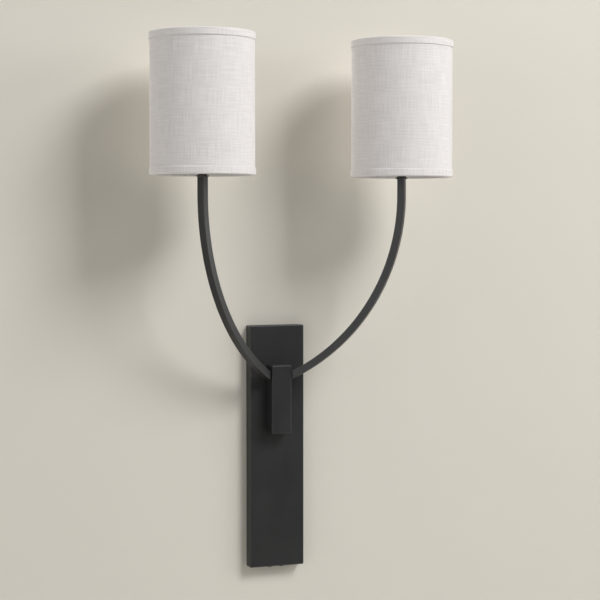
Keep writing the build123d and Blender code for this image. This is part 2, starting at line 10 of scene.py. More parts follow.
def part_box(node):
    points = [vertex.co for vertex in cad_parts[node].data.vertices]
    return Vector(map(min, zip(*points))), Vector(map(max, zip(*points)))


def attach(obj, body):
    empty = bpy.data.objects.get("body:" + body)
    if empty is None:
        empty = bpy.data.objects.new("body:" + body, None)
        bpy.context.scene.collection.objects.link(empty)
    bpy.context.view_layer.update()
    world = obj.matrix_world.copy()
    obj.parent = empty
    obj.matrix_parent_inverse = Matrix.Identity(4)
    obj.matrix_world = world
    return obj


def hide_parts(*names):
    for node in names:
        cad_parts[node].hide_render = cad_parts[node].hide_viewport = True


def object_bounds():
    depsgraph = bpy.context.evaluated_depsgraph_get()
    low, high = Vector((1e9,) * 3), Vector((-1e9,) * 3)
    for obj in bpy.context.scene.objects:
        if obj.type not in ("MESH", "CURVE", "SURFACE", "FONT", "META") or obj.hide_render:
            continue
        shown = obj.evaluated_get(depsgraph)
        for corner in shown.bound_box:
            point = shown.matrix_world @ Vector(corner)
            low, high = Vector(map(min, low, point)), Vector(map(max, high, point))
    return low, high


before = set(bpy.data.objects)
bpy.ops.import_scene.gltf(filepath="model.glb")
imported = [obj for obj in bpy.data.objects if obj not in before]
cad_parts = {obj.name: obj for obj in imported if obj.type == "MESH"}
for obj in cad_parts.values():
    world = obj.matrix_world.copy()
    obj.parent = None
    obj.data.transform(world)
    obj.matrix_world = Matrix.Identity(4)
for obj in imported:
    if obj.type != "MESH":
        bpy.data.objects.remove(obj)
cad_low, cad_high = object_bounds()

bl_info = {
    "name": "Double Arm Wall Sconce",
    "version": (1, 0, 0),
    "blender": (4, 5, 0),
    "location": "View3D > Sidebar > Sconce",
    "description": "Finishes a wall sconce with two linen drum shades and sets up its studio",
    "category": "Object",
}

MM = 0.001
SIDES = ("left", "right")
LIGHTS = ("key", "side", "fill", "left_glint", "right_glint", "back")

# Places and sizes that come from the parts in model.glb
cover_low, cover_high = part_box("right_shade_cover")
trim_low, trim_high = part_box("right_shade_bottom_trim")
liner_low, liner_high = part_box("right_shade_liner")
ring_low, ring_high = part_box("right_shade_top_ring")
LAMP_X = (cover_low.x + cover_high.x) / 2
LAMP_Y = (cover_low.y + cover_high.y) / 2
COVER_RADIUS = (cover_high.x - cover_low.x) / 2
LINER_RADIUS = (liner_high.x - liner_low.x) / 2
TRIM_RADIUS = (trim_high.x - trim_low.x) / 2
RING_RADIUS = (ring_high.x - ring_low.x) / 2
RING_WIRE = (ring_high.z - ring_low.z) / 2
TRIM_HEIGHT = trim_high.z - trim_low.z
SHADE_BOTTOM = trim_low.z
SHADE_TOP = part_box("right_shade_top_trim")[1].z

# Where a shade's glued overlaps are, as an angle round its axis, and the room that glue takes
WALL_SIDE = math.pi / 2
GLUE_GAP = 0.04 * MM


# ---------------------------------------------------------------- settings


class SconceLinenSettings(PropertyGroup):
    """Cloth of the drum shades."""

    colour: FloatVectorProperty(
        name="Linen colour", description="Colour of the bleached yarn", subtype="COLOR", size=3,
        min=0, max=1, default=(0.85, 0.816, 0.808))
    warp_pitch: FloatProperty(
        name="Warp pitch", description="Distance between upright yarns", unit="LENGTH",
        default=0.00074)
    weft_pitch: FloatProperty(
        name="Weft pitch", description="Distance between level yarns", unit="LENGTH",
        default=0.00082)
    slub_length: FloatProperty(
        name="Slub length", description="Length of a thick stretch of yarn", unit="LENGTH",
        default=0.030)
    slub_depth: FloatProperty(
        name="Slub depth", description="How much thick yarns change the colour", subtype="FACTOR",
        min=0, max=1, default=0.125)
    seam_width: FloatProperty(
        name="Seam width", description="Width of the glued overlap that faces the wall",
        unit="LENGTH", default=0.010)
    seam_rise: FloatProperty(
        name="Seam rise", description="How far the overlap stands out", unit="LENGTH",
        default=0.00035)


class SconceMetalSettings(PropertyGroup):
    """Powder coat on the backplate, block and arms."""

    colour: FloatVectorProperty(
        name="Coat colour", description="Colour of the powder coat", subtype="COLOR", size=3, min=0,
        max=1, default=(0.0195, 0.0195, 0.0200))
    roughness: FloatProperty(
        name="Coat roughness", description="Gloss of the coat", subtype="FACTOR", min=0, max=1,
        default=0.40)
    peel_size: FloatProperty(
        name="Orange peel size", description="Size of the coat's fine waves", unit="LENGTH",
        default=0.0011)
    peel_depth: FloatProperty(
        name="Orange peel depth", description="Height of the coat's fine waves", unit="LENGTH",
        default=0.000012)
    # The edge band is painted lighter as a painted highlight, and made glossier
    edge_radius: FloatProperty(
        name="Edge band", description="Width of the thinner coat along edges", unit="LENGTH",
        default=0.0018)


class SconceStudioSettings(PropertyGroup):
    """Backdrop, floor, lights and camera."""

    wall_colour: FloatVectorProperty(
        name="Backdrop colour", description="Colour of the plain backdrop", subtype="COLOR", size=3,
        min=0, max=1, default=(0.69, 0.66, 0.59))
    floor_colour: FloatVectorProperty(
        name="Floor colour", description="Colour of the plain floor", subtype="COLOR", size=3,
        min=0, max=1, default=(0.70, 0.68, 0.64))
    floor_height: FloatProperty(
        name="Floor height", description="Height of the floor", unit="LENGTH", default=-1.35)
    headroom: FloatProperty(
        name="Headroom", description="Height of the backdrop above the object", unit="LENGTH",
        default=1.6)
    backdrop_gap: FloatProperty(
        name="Backdrop gap", description="Room between the object's back and the backdrop",
        unit="LENGTH", default=0.6 * MM)
    room_size: FloatProperty(
        name="Stage size", description="Half the width of floor and backdrop", unit="LENGTH",
        default=4.0)
    key_power: FloatProperty(
        name="Key power", description="Power of the main light", unit="POWER", default=107.0)
    key_turn: FloatProperty(
        name="Key azimuth", description="Direction of the key light from the wall's normal",
        subtype="ANGLE", default=math.radians(33))
    key_rise: FloatProperty(
        name="Key elevation", description="Height of the key light as an angle", subtype="ANGLE",
        default=math.radians(42))
    side_power: FloatProperty(
        name="Side power", description="Power of the low light on the right", unit="POWER",
        default=34.0)
    side_turn: FloatProperty(
        name="Side azimuth", description="Direction of the side light from the wall's normal",
        subtype="ANGLE", default=math.radians(63))
    side_rise: FloatProperty(
        name="Side elevation", description="Height of the side light as an angle", subtype="ANGLE",
        default=math.radians(16))
    fill_power: FloatProperty(
        name="Fill power", description="Power of the weak light on the left", unit="POWER",
        default=8.0)
    fill_turn: FloatProperty(
        name="Fill azimuth", description="Direction of the fill light from the wall's normal",
        subtype="ANGLE", default=math.radians(-54))
    fill_rise: FloatProperty(
        name="Fill elevation", description="Height of the fill light as an angle", subtype="ANGLE",
        default=math.radians(6))
    left_glint_power: FloatProperty(
        name="Left glint power",
        description="Power of the light on the left that only shows in gloss", unit="POWER",
        default=13.0)
    left_glint_turn: FloatProperty(
        name="Left glint azimuth", description="Direction of the left glint from the wall's normal",
        subtype="ANGLE", default=math.radians(-54))
    left_glint_rise: FloatProperty(
        name="Left glint elevation", description="Height of the left glint as an angle",
        subtype="ANGLE", default=math.radians(6))
    right_glint_power: FloatProperty(
        name="Right glint power",
        description="Power of the light on the right that only shows in gloss", unit="POWER",
        default=28.0)
    right_glint_turn: FloatProperty(
        name="Right glint azimuth",
        description="Direction of the right glint from the wall's normal", subtype="ANGLE",
        default=math.radians(78))
    right_glint_rise: FloatProperty(
        name="Right glint elevation", description="Height of the right glint as an angle",
        subtype="ANGLE", default=math.radians(8))
    back_power: FloatProperty(
        name="Back power", description="Power of the light that shows the side towards the wall",
        unit="POWER", default=48.0)
    back_turn: FloatProperty(
        name="Back azimuth", description="Direction of the back light from the wall's normal",
        subtype="ANGLE", default=math.radians(180))
    back_rise: FloatProperty(
        name="Back elevation", description="Height of the back light as an angle", subtype="ANGLE",
        default=math.radians(22))
    light_size: FloatProperty(
        name="Light size", description="Side of each soft light", unit="LENGTH", default=1.4)
    light_distance: FloatProperty(
        name="Light distance", description="Distance of each soft light", unit="LENGTH",
        default=4.0)
    sky_left: FloatProperty(
        name="Sky left", description="Strength of the even light from the far left", default=0.80)
    sky_right: FloatProperty(
        name="Sky right", description="Strength of the even light from the far right", default=0.30)
    camera_place: FloatVectorProperty(
        name="Camera place", description="Where the camera stands", subtype="TRANSLATION",
        unit="LENGTH", size=3, default=(-0.75296, -2.03907, 0.28668))
    camera_pitch: FloatProperty(
        name="Camera pitch", description="How far the camera looks down", subtype="ANGLE",
        default=math.radians(2.578))
    camera_yaw: FloatProperty(
        name="Camera yaw", description="How far the camera turns to the right of the wall's normal",
        subtype="ANGLE", default=math.radians(21.191))
    lens: FloatProperty(name="Lens", description="Focal length in millimetres", default=100.403)


class SconceMeshSettings(PropertyGroup):
    """Fineness of the modelled cloth."""

    around: IntProperty(name="Around", description="Faces round a shade", min=24, default=240)
    rows: IntProperty(name="Rows", description="Rows of faces up a shade", min=4, default=44)


SETTINGS = (
    ("sconce_linen", SconceLinenSettings),
    ("sconce_metal", SconceMetalSettings),
    ("sconce_studio", SconceStudioSettings),
    ("sconce_mesh", SconceMeshSettings),
)


# ---------------------------------------------------------------- material nodes


class Finish:
    """One procedural material, with short calls for its nodes."""

    def __init__(self, name):
        self.material = bpy.data.materials.new(name)
        self.material.use_nodes = True
        self.nodes = self.material.node_tree.nodes
        self.links = self.material.node_tree.links
        self.shader = self.nodes["Principled BSDF"]

    def set(self, **values):
        """Sets the shader's own sockets, named with underscores for spaces."""
        for name, value in values.items():
            self.shader.inputs[name.replace("_", " ")].default_value = value
        return self

    def node(self, kind, settings=None, **inputs):
        """Adds a node, with its settings, and values or links for its named inputs."""
        made = self.nodes.new(kind)
        for name, value in (settings or {}).items():
            setattr(made, name, value)
        for name, value in inputs.items():
            self.plug(made.inputs[name.replace("_", " ")], value)
        return made

    def plug(self, socket, value):
        """Links another node's output to a socket, or sets the socket's own value."""
        if isinstance(value, bpy.types.NodeSocket):
            self.links.new(value, socket)
        else:
            socket.default_value = value

    def math(self, operation, first, second=0.0):
        made = self.nodes.new("ShaderNodeMath")
        made.operation = operation
        for socket, value in zip(made.inputs, (first, second)):
            self.plug(socket, value)
        return made.outputs[0]

    def place(self):
        """A point's place on its own object, in metres."""
        return self.node("ShaderNodeTexCoord").outputs["Object"]

    def scaled(self, vector, scale):
        mapping = self.node("ShaderNodeMapping", Vector=vector)
        mapping.inputs["Scale"].default_value = scale
        return mapping.outputs["Vector"]

    def noise(self, vector, scale, detail, roughness=0.5):
        made = self.node(
            "ShaderNodeTexNoise", Vector=vector, Scale=scale, Detail=detail, Roughness=roughness)
        return made.outputs["Fac"]

    def remap(self, value, source, target):
        """Turns the range source into the range target, and stops at its ends."""
        made = self.node("ShaderNodeMapRange", Value=value)
        names = ("From Min", "From Max", "To Min", "To Max")
        for name, number in zip(names, (*source, *target)):
            self.plug(made.inputs[name], number)
        return made.outputs["Result"]

    def ramp(self, value, stops):
        """Turns a value into a colour; stops are (position, colour) pairs."""
        made = self.node("ShaderNodeValToRGB", Fac=value)
        elements = made.color_ramp.elements
        for element, (position, colour) in zip(elements, stops):
            element.position = position
            element.color = (*colour, 1.0)
        return made.outputs["Color"]

    def mix(self, factor, first, second, blend="MIX"):
        made = self.nodes.new("ShaderNodeMix")
        made.data_type = "RGBA"
        made.blend_type = blend
        # Input 0 of a mix node is its factor, 6 and 7 are its colours, and output 2 is its colour
        self.plug(made.inputs[0], factor)
        for socket, value in ((made.inputs[6], first), (made.inputs[7], second)):
            self.plug(socket, (*value, 1.0) if isinstance(value, tuple) else value)
        return made.outputs[2]

    def bump(self, height, distance, strength, under=None):
        """Relief from a height, on the smooth surface or on the normals given as under."""
        made = self.node("ShaderNodeBump", Height=height, Distance=distance, Strength=strength)
        if under is not None:
            self.links.new(under, made.inputs["Normal"])
        return made.outputs["Normal"]

    def finish(self, colour, roughness=None, normal=None):
        """Links the last nodes to the shader and gives the material."""
        for name, value in (("Base Color", colour), ("Roughness", roughness), ("Normal", normal)):
            if value is not None:
                self.links.new(value, self.shader.inputs[name])
        return self.material


def tinted(colour, factor):
    return tuple(min(1.0, channel * factor) for channel in colour)


def powder_coat(name, soft_edges=False):
    """Satin black powder coat: fine orange peel, slight clouds, and glossier edges that are painted
    lighter as a painted highlight.

    With soft_edges the film also rounds the edges a little, so that they catch the light.
    """
    settings = bpy.context.scene.sconce_metal
    colour = tuple(settings.colour)
    # The edge colour is a painted highlight: the edge band is painted lighter, and also made
    # glossier
    edge_highlight_colour, edge_highlight_share, edge_gloss = tinted(colour, 4.6), 0.8, 0.16
    made = Finish(name)
    made.set(Specular_IOR_Level=0.42, Coat_Weight=0.03, Coat_Roughness=0.3)
    place = made.place()
    cloud = made.noise(place, scale=22.0, detail=3.0)
    speck = made.noise(place, scale=1800.0, detail=1.0)
    peel = made.noise(place, scale=1 / settings.peel_size, detail=1.5, roughness=0.45)
    wipe = made.noise(made.scaled(place, (9.0, 9.0, 2.2)), scale=6.0, detail=4.0, roughness=0.6)
    rounded = made.node("ShaderNodeBevel", {"samples": 6}, Radius=settings.edge_radius)
    true_normal = made.node("ShaderNodeNewGeometry").outputs["Normal"]
    along = made.node("ShaderNodeVectorMath", {"operation": "DOT_PRODUCT"})
    made.links.new(rounded.outputs["Normal"], along.inputs[0])
    made.links.new(true_normal, along.inputs[1])
    edge = made.remap(along.outputs["Value"], (0.998, 0.90), (0.0, 1.0))
    # Mask of the edge band, patchy, for the painted highlight and the gloss along the edges
    edge_highlight_and_gloss = made.math("MULTIPLY", edge, made.remap(cloud, (0.35, 0.7), (0.35, 1.0)))
    base = made.ramp(cloud, ((0.3, tinted(colour, 0.88)), (0.7, tinted(colour, 1.14))))
    base = made.mix(made.remap(speck, (0.62, 0.78), (0.0, 0.35)), base, tinted(colour, 1.9))
    # Painted highlight: the edge band is painted lighter
    base = made.mix(made.math("MULTIPLY", edge_highlight_and_gloss, edge_highlight_share), base, edge_highlight_colour)
    rough = made.remap(wipe, (0.3, 0.7), (settings.roughness - 0.05, settings.roughness + 0.06))
    rough = made.math("SUBTRACT", rough, made.math("MULTIPLY", edge_highlight_and_gloss, edge_gloss))
    under = rounded.outputs["Normal"] if soft_edges else None
    return made.finish(base, rough, made.bump(peel, settings.peel_depth, 0.9, under))


def linen(name):
    """Plain woven linen: round yarns over and under each other, with slubs in both directions."""
    settings = bpy.context.scene.sconce_linen
    colour, depth = tuple(settings.colour), settings.slub_depth
    yarn_wander = 0.9 * MM
    over_share, round_share = 0.35, 0.65
    thin, long = 1 / (1.25 * MM), 1 / settings.slub_length
    coarse_thin, coarse_long, coarse_share = thin * 0.36, long * 0.7, 0.12
    made = Finish(name)
    made.set(
        Specular_IOR_Level=0.18, Sheen_Weight=0.6, Sheen_Roughness=0.5,
        Sheen_Tint=(0.95, 0.93, 0.92, 1.0))
    weave = made.node("ShaderNodeUVMap", {"uv_map": "weave"}).outputs["UV"]

    # Height of the woven yarns
    wander = made.noise(weave, scale=55.0, detail=2.0)
    across = made.node("ShaderNodeSeparateXYZ", Vector=weave)
    wobble = made.math("MULTIPLY", made.math("SUBTRACT", wander, 0.5), yarn_wander)
    warp_place = made.math("ADD", across.outputs["X"], wobble)
    weft_place = made.math("ADD", across.outputs["Y"], wobble)
    warp_turn = made.math("MULTIPLY", warp_place, math.pi / settings.warp_pitch)
    weft_turn = made.math("MULTIPLY", weft_place, math.pi / settings.weft_pitch)
    over = made.math("MULTIPLY", made.math("SINE", warp_turn), made.math("SINE", weft_turn))
    warp_round = made.math("ABSOLUTE", made.math("COSINE", warp_turn))
    weft_round = made.math("ABSOLUTE", made.math("COSINE", weft_turn))
    yarns = made.math("MAXIMUM", warp_round, weft_round)
    height = made.math("ADD", made.math("MULTIPLY", over, over_share),
                       made.math("MULTIPLY", yarns, round_share))

    # Thick and thin stretches, fine and coarse, along both yarns
    fine = {"scale": 1.0, "detail": 2.0, "roughness": 0.55}
    coarse = {"scale": 1.0, "detail": 1.0}
    warp_slub = made.noise(made.scaled(weave, (thin, long, 1.0)), **fine)
    weft_slub = made.noise(made.scaled(weave, (long, thin, 1.0)), **fine)
    coarse_warp = made.noise(made.scaled(weave, (coarse_thin, coarse_long, 1.0)), **coarse)
    coarse_weft = made.noise(made.scaled(weave, (coarse_long, coarse_thin, 1.0)), **coarse)
    coarse_slub = made.math("MULTIPLY", made.math("ADD", coarse_warp, coarse_weft), coarse_share)
    slub = made.math("ADD", made.math("ADD", warp_slub, weft_slub), coarse_slub)

    # Colour, gloss and relief; the low places between yarns are darkened as painted shade
    shade = made.remap(slub, (0.84, 1.40), (1.0 - depth, 1.0 + depth * 0.42))
    # Painted shade: darker where the yarns lie low, between them
    yarn_gap_shade = made.remap(height, (0.25, 0.8), (0.90, 1.0))
    fibre = made.noise(made.scaled(weave, (3200.0, 3200.0, 1.0)), scale=1.0, detail=2.0)
    tone = made.math("MULTIPLY", made.math("MULTIPLY", shade, yarn_gap_shade),
                     made.remap(fibre, (0.3, 0.7), (0.97, 1.02)))
    grey = made.node("ShaderNodeCombineColor", Red=tone, Green=tone, Blue=tone).outputs["Color"]
    warm_patch = made.noise(weave, scale=38.0, detail=2.0)
    warm = made.ramp(warm_patch, ((0.35, tinted(colour, 0.985)), (0.65, colour)))
    base = made.mix(1.0, warm, grey, "MULTIPLY")
    rough = made.remap(slub, (0.8, 1.5), (0.92, 0.80))
    relief = made.math("ADD", height, made.math("MULTIPLY", slub, 0.5))
    return made.finish(base, rough, made.bump(relief, 0.09 * MM, 0.8))


def smooth_plastic(name, colour, roughness, grain, depth=0.01, spread=0.10):
    """Moulded or coated plastic: faint cloudiness, a fine moulded grain and uneven gloss."""
    made = Finish(name).set(Specular_IOR_Level=0.45)
    place = made.place()
    cloud = made.noise(place, scale=60.0, detail=3.0)
    grains = made.noise(place, scale=grain, detail=2.0)
    base = made.ramp(cloud, ((0.3, tinted(colour, 1 - spread)), (0.7, tinted(colour, 1 + spread))))
    rough = made.remap(cloud, (0.3, 0.7), (roughness - 0.05, roughness + 0.07))
    return made.finish(base, rough, made.bump(grains, depth * MM, 0.7))


def styrene_lining():
    """White styrene lining: matt, slightly warm, with the linen's weave faintly pressed through."""
    made = Finish("white_styrene_lining").set(Specular_IOR_Level=0.35)
    place = made.place()
    press = made.noise(made.scaled(place, (700.0, 700.0, 700.0)), scale=1.0, detail=2.0)
    cloud = made.noise(place, scale=30.0, detail=3.0)
    base = made.ramp(cloud, ((0.3, (0.80, 0.785, 0.75)), (0.7, (0.86, 0.85, 0.82))))
    rough = made.remap(press, (0.3, 0.7), (0.50, 0.62))
    return made.finish(base, rough, made.bump(press, 0.02 * MM, 0.6))


def drawn_metal(name, colour, roughness, stretch, tarnish):
    """Bare or plated metal: fine drawing lines, dull patches and a little tarnish."""
    made = Finish(name).set(Metallic=1.0)
    place = made.place()
    lines = made.noise(made.scaled(place, stretch), scale=1.0, detail=3.0, roughness=0.6)
    patch = made.noise(place, scale=90.0, detail=4.0, roughness=0.6)
    base = made.ramp(lines, ((0.3, tinted(colour, 0.90)), (0.7, tinted(colour, 1.05))))
    base = made.mix(made.remap(patch, (0.5, 0.75), (0.0, 0.35)), base, tarnish)
    rough = made.math("ADD", made.remap(lines, (0.3, 0.7), (roughness - 0.05, roughness + 0.07)),
                      made.remap(patch, (0.45, 0.7), (0.0, 0.10)))
    return made.finish(base, rough, made.bump(lines, 0.006 * MM, 0.6))


def frosted_glass():
    """Inside frosted bulb glass: milky, with a soft outer gloss."""
    made = Finish("frosted_bulb_glass")
    made.set(IOR=1.47, Transmission_Weight=0.12, Coat_Weight=0.6, Coat_Roughness=0.06)
    place = made.place()
    frost = made.noise(place, scale=420.0, detail=3.0)
    cloud = made.noise(place, scale=45.0, detail=2.0)
    base = made.ramp(cloud, ((0.3, (0.86, 0.86, 0.84)), (0.7, (0.93, 0.93, 0.92))))
    rough = made.remap(frost, (0.3, 0.7), (0.42, 0.60))
    return made.finish(base, rough, made.bump(frost, 0.01 * MM, 0.4))


def vitreous_contact():
    """Dark vitreous insulator with a soldered tip at its foot."""
    made = Finish("bulb_contact_finish")
    made.set(Specular_IOR_Level=0.6, Coat_Weight=0.3, Coat_Roughness=0.15)
    place = made.place()
    low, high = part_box("right_bulb_contact")
    tip_end = low.z + (high.z - low.z) * 0.30
    glass_start = low.z + (high.z - low.z) * 0.42
    level = made.node("ShaderNodeSeparateXYZ", Vector=place).outputs["Z"]
    solder = made.remap(level, (tip_end, glass_start), (1.0, 0.0))
    cloud = made.noise(place, scale=500.0, detail=3.0)
    glass = made.ramp(cloud, ((0.3, (0.020, 0.016, 0.024)), (0.7, (0.045, 0.036, 0.05))))
    tip = made.ramp(cloud, ((0.3, (0.42, 0.42, 0.43)), (0.7, (0.60, 0.60, 0.61))))
    base = made.mix(solder, glass, tip)
    made.links.new(solder, made.shader.inputs["Metallic"])
    rough = made.remap(cloud, (0.3, 0.7), (0.22, 0.38))
    return made.finish(base, rough, made.bump(cloud, 0.02 * MM, 0.5))


def stage_paint(name, colour):
    """Plain paint that shows from its front only, so that every view sees the object."""
    made = Finish(name).set(Specular_IOR_Level=0.1, Roughness=0.9)
    cloud = made.noise(made.place(), scale=1.6, detail=2.0)
    made.finish(made.ramp(cloud, ((0.3, tinted(colour, 0.985)), (0.7, tinted(colour, 1.015)))))
    clear = made.node("ShaderNodeBsdfTransparent")
    choose = made.node("ShaderNodeMixShader")
    made.links.new(made.node("ShaderNodeNewGeometry").outputs["Backfacing"], choose.inputs[0])
    made.links.new(made.shader.outputs[0], choose.inputs[1])
    made.links.new(clear.outputs[0], choose.inputs[2])
    output = next(node for node in made.nodes if node.type == "OUTPUT_MATERIAL")
    made.links.new(choose.outputs[0], output.inputs["Surface"])
    return made.material


def dress(names, material):
    """Gives CAD nodes their finish through their own material slots."""
    for name in names:
        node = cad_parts[name]
        if not node.material_slots:
            node.data.materials.append(material)
        for slot in node.material_slots:
            slot.material = material


def both(name):
    """The names of a node on the left and on the right."""
    return [f"{side}_{name}" for side in SIDES]


# ---------------------------------------------------------------- cloth meshes


def ring_mesh(name, section, around, uv_start, centre):
    """A closed band round an upright axis.

    section(angle) gives the band's points there, as (radius, height, distance on the cloth). The UV
    layer "weave" holds real distances on the cloth, in metres.
    """
    mesh = bmesh.new()
    weave = mesh.loops.layers.uv.new("weave")
    rings, distances = [], []
    for step in range(around):
        angle = 2 * math.pi * step / around
        points = section(angle)
        direction = Vector((math.cos(angle), math.sin(angle), 0))
        base = Vector((centre.x, centre.y, 0))
        rings.append([mesh.verts.new(base + direction * radius + Vector((0, 0, height)))
                      for radius, height, _ in points])
        distances.append([distance for _, _, distance in points])
    count = len(rings[0])
    for step in range(around):
        following = (step + 1) % around
        for place in range(count):
            beside = (place + 1) % count
            face = mesh.faces.new((rings[step][place], rings[following][place],
                                   rings[following][beside], rings[step][beside]))
            face.smooth = True
            corners = ((step, place), (step + 1, place), (step + 1, beside), (step, beside))
            for loop, (turn, at) in zip(face.loops, corners):
                length = 2 * math.pi * COVER_RADIUS * turn / around
                loop[weave].uv = (length + uv_start, distances[turn % around][at])
    mesh.normal_update()
    data = bpy.data.meshes.new(name)
    mesh.to_mesh(data)
    mesh.free()
    piece = bpy.data.objects.new(name, data)
    bpy.context.scene.collection.objects.link(piece)
    return piece


def seam_rise(angle, facing, width, rise):
    """How far the cloth stands out at an angle: the overlap ends in a soft step on each side."""
    step_width = 0.8 * MM
    away = abs((angle - facing + math.pi) % (2 * math.pi) - math.pi) * COVER_RADIUS
    share = min(1.0, max(0.0, (width / 2 + step_width / 2 - away) / step_width))
    return rise * share * share * (3 - 2 * share)


def waviness(angle, height, size, seed):
    """Slight unevenness of cloth that is glued on a rolled sheet."""
    round_pace, height_pace, seed_pace = 2.1, 16.0, 7.3
    spot = Vector((math.cos(angle) * round_pace, math.sin(angle) * round_pace,
                   height * height_pace + seed * seed_pace))
    return noise.noise(spot) * size


def make_cover(side, centre, material):
    """The linen cover: a thin rolled cloth with its glued overlap towards the wall."""
    settings = bpy.context.scene.sconce_linen
    mesh_settings = bpy.context.scene.sconce_mesh
    low, high = cover_low.z, cover_high.z
    inner, outer = LINER_RADIUS + GLUE_GAP, COVER_RADIUS
    wave_size = 0.05 * MM
    seed = SIDES.index(side)
    weave_start = 0.37 * seed
    rows = mesh_settings.rows

    def section(angle):
        rise = seam_rise(angle, WALL_SIDE, settings.seam_width, settings.seam_rise)
        points = []
        for row in range(rows + 1):
            height = low + (high - low) * row / rows
            wave = waviness(angle, height, wave_size, seed)
            points.append((outer + rise + wave, height, height))
        points.append((inner, high, high + outer - inner))
        for row in range(rows, -1, -1):
            height = low + (high - low) * row / rows
            points.append((inner, height, height))
        return points

    piece = ring_mesh(f"{side}_linen_cover", section, mesh_settings.around, weave_start, centre)
    piece.data.materials.append(material)
    return piece


def make_trim(side, which, centre, material):
    """A folded linen band that laps over the shade's edge and round the wire ring inside it."""
    settings = bpy.context.scene.sconce_linen
    up = which == "top"
    edge = SHADE_TOP if up else SHADE_BOTTOM
    inwards = -1 if up else 1
    seed = SIDES.index(side) * 2 + (0 if up else 1)
    weave_start = 0.11 * seed

    # The band outside, its overlap, and the return behind the wire ring
    play = 0.12 * MM
    thickness = 0.75 * MM
    band = TRIM_RADIUS - play
    band_inner = COVER_RADIUS + GLUE_GAP
    fold_inner = RING_RADIUS - 2 * RING_WIRE - play
    return_height = 5.2 * MM
    corner, corner_steps = 0.85 * MM, 4
    overlap_shift, overlap_width, overlap_rise = 0.05, 1.3, 1.4
    band_wave, hem_wave = 0.10 * MM, 0.12 * MM

    # The roll over the shade's edge, outside and inside the cloth
    roll_height, inner_roll_height = 1.5 * MM, 1.0 * MM
    roll_width = (band - fold_inner + thickness) / 2
    roll_centre = (band + fold_inner - thickness) / 2
    roll_steps, inner_roll_steps = 14, 10

    def half_round(width, height, first, last, steps):
        """Points of an elliptical arc over the edge, as (radius, depth below the edge)."""
        points = []
        for step in range(steps + 1):
            turn = first + (last - first) * step / steps
            points.append((roll_centre + width * math.cos(turn),
                           roll_height - height * math.sin(turn)))
        return points

    def section(angle):
        rise = seam_rise(angle, WALL_SIDE + overlap_shift, settings.seam_width * overlap_width,
                         settings.seam_rise * overlap_rise)
        wave = waviness(angle, 0.3, band_wave, seed + 3)
        hem = TRIM_HEIGHT + waviness(angle * 2, 0.8, hem_wave, seed + 5)
        outline = []
        for step in range(corner_steps + 1):
            turn = math.pi / 2 * step / corner_steps
            outline.append((band - corner + corner * math.sin(turn),
                            hem - corner + corner * math.cos(turn)))
        outline += [(band, hem - 2.0 * MM), (band, hem * 0.5), (band, roll_height + 0.6 * MM)]
        outline += half_round(roll_width, roll_height, 0.0, math.pi, roll_steps)
        outline += [(fold_inner - thickness, return_height * 0.6),
                    (fold_inner - thickness, return_height)]
        outline += [(fold_inner, return_height), (fold_inner, return_height * 0.6)]
        outline += half_round(roll_width - thickness, inner_roll_height, math.pi, 0.0,
                              inner_roll_steps)
        outline += [(band_inner, roll_height + 1.0 * MM), (band_inner, hem * 0.5),
                    (band_inner, hem)]
        points = []
        distance = 0.0
        before = outline[0]
        for radius, depth in outline:
            distance += math.dist(before, (radius, depth))
            before = (radius, depth)
            proud = rise + wave if radius > band - corner * 1.2 else 0.0
            points.append((radius + proud, edge + inwards * depth, edge + distance * inwards))
        return points if inwards > 0 else points[::-1]

    around = bpy.context.scene.sconce_mesh.around
    piece = ring_mesh(f"{side}_{which}_trim", section, around, weave_start, centre)
    piece.data.materials.append(material)
    return piece


def square_up(piece):
    """Turns a closed mesh's faces outwards."""
    mesh = bmesh.new()
    mesh.from_mesh(piece.data)
    bmesh.ops.recalc_face_normals(mesh, faces=mesh.faces)
    mesh.to_mesh(piece.data)
    mesh.free()


# ---------------------------------------------------------------- operators


class SCONCE_OT_camera(Operator):
    """Places the camera at the photograph's viewpoint"""

    bl_idname = "sconce.camera"
    bl_label = "Camera"

    def execute(self, context):
        settings = context.scene.sconce_studio
        data = bpy.data.cameras.new("camera")
        data.lens = settings.lens
        camera = bpy.data.objects.new("camera", data)
        camera.location = settings.camera_place
        camera.rotation_euler = (math.pi / 2 - settings.camera_pitch, 0, -settings.camera_yaw)
        context.scene.collection.objects.link(camera)
        context.scene.camera = camera
        return {"FINISHED"}


def stage_plane(name, corners, material):
    """A plain flat stage piece, which isn't part of the object."""
    data = bpy.data.meshes.new(name)
    data.from_pydata(corners, [], [(0, 1, 2, 3)])
    data.materials.append(material)
    piece = bpy.data.objects.new(name, data)
    bpy.context.scene.collection.objects.link(piece)
    return piece


def area_light(name, place, target, size, power):
    """A soft square light that faces a target."""
    data = bpy.data.lights.new(name, "AREA")
    data.shape = "SQUARE"
    data.size = size
    data.energy = power
    light = bpy.data.objects.new(name, data)
    light.location = place
    light.rotation_euler = (Vector(target) - Vector(place)).to_track_quat("-Z", "Y").to_euler()
    bpy.context.scene.collection.objects.link(light)
    return light


